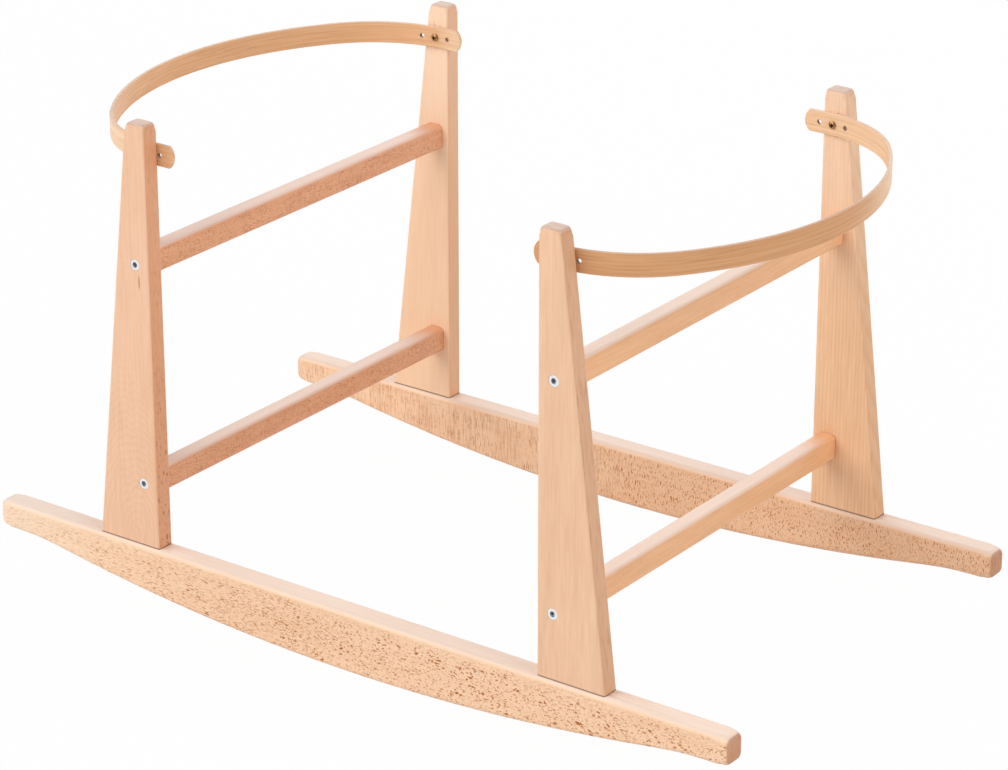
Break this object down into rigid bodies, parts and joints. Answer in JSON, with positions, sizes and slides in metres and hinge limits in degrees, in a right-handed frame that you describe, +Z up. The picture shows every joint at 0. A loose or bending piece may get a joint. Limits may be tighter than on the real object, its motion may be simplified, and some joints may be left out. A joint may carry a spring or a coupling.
{
  "type": "moses basket stand",
  "caption": "Beech rocking stand: tapered posts on curved rockers, cross rails that carry a basket, and a bentwood hoop at each end that keeps it in place.",
  "frame": {"origin": "on the floor, under the middle of the stand, where the rockers touch the floor at rest", "axes": "+X along the rockers to the right, +Y from the front rocker to the rear one, +Z up"},
  "size_m": [0.807, 0.46, 0.4599],
  "materials": {
    "rocker_beech": "clear satin lacquer, fine dark flecks along the grain",
    "post_beech": "clear satin lacquer",
    "rail_beech": "clear satin lacquer",
    "hoop_bentwood": "clear satin lacquer, streaked along the bend",
    "dowel_beech": "bare",
    "zinc_steel": "zinc plated",
    "bronzed_screw": "bronzed"
  },
  "bodies": {
    "root": {"front_rocker": "rocker_beech", "rear_rocker": "rocker_beech", "front_left_post": "post_beech", "front_right_post": "post_beech", "rear_left_post": "post_beech", "rear_right_post": "post_beech", "left_lower_rail": "rail_beech", "left_upper_rail": "rail_beech", "right_lower_rail": "rail_beech", "right_upper_rail": "rail_beech", "left_hoop": "hoop_bentwood", "right_hoop": "hoop_bentwood", "front_left_rail_bolts": "zinc_steel", "front_right_rail_bolts": "zinc_steel", "rear_left_rail_bolts": "zinc_steel", "rear_right_rail_bolts": "zinc_steel", "left_lower_barrel_nuts": "zinc_steel", "left_upper_barrel_nuts": "zinc_steel", "right_lower_barrel_nuts": "zinc_steel", "right_upper_barrel_nuts": "zinc_steel", "front_left_post_dowels": "dowel_beech", "front_right_post_dowels": "dowel_beech", "rear_left_post_dowels": "dowel_beech", "rear_right_post_dowels": "dowel_beech", "left_hoop_screws": "bronzed_screw", "right_hoop_screws": "bronzed_screw"}
  },
  "joints": []
}
